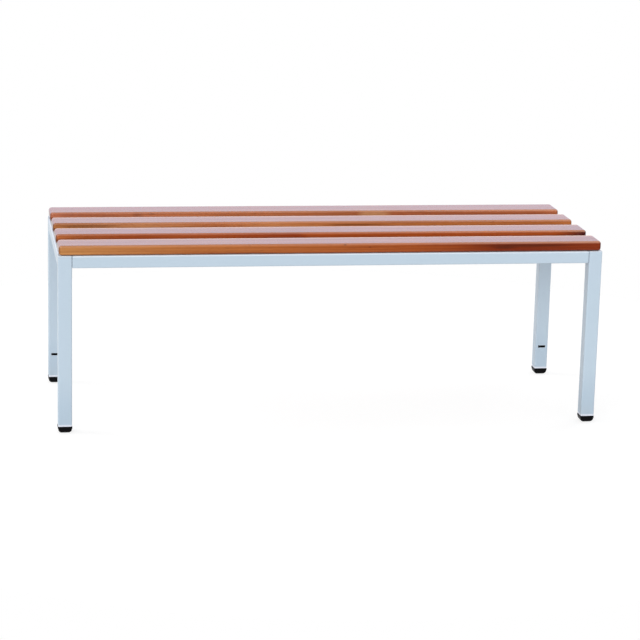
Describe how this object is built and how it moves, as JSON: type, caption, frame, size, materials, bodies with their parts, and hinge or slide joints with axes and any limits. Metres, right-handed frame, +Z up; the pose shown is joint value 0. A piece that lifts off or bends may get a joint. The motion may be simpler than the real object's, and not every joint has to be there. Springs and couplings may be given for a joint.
{
  "type": "slatted bench",
  "caption": "Long slatted bench: rounded hardwood slats on a welded square-tube frame with straight legs, black plug feet and slots for a shoe rack.",
  "frame": {"origin": "on the floor under the middle of the seat", "axes": "+X along the seat to the right seen from the front, +Y from front to rear, +Z up"},
  "size_m": [1.2012, 0.4508, 0.415],
  "materials": {
    "frame_paint": "pale blue-grey powder coat, satin",
    "slat_wood": "reddish hardwood under glossy clear varnish",
    "foot_plastic": "black moulded plastic",
    "screw_zinc": "zinc-plated steel"
  },
  "bodies": {
    "root": {"centre_rail": "frame_paint", "foot_front_left": "foot_plastic", "foot_front_right": "foot_plastic", "foot_rear_left": "foot_plastic", "foot_rear_right": "foot_plastic", "front_middle_slat": "slat_wood", "front_middle_slat_screw_centre": "screw_zinc", "front_middle_slat_screw_left": "screw_zinc", "front_middle_slat_screw_right": "screw_zinc", "front_rail": "frame_paint", "front_slat": "slat_wood", "front_slat_screw_centre": "screw_zinc", "front_slat_screw_left": "screw_zinc", "front_slat_screw_right": "screw_zinc", "left_end_rail": "frame_paint", "leg_cap_front_left": "frame_paint", "leg_cap_front_right": "frame_paint", "leg_cap_rear_left": "frame_paint", "leg_cap_rear_right": "frame_paint", "leg_front_left": "frame_paint", "leg_front_right": "frame_paint", "leg_rear_left": "frame_paint", "leg_rear_right": "frame_paint", "rear_middle_slat": "slat_wood", "rear_middle_slat_screw_centre": "screw_zinc", "rear_middle_slat_screw_left": "screw_zinc", "rear_middle_slat_screw_right": "screw_zinc", "rear_rail": "frame_paint", "rear_slat": "slat_wood", "rear_slat_screw_centre": "screw_zinc", "rear_slat_screw_left": "screw_zinc", "rear_slat_screw_right": "screw_zinc", "right_end_rail": "frame_paint"}
  },
  "joints": []
}
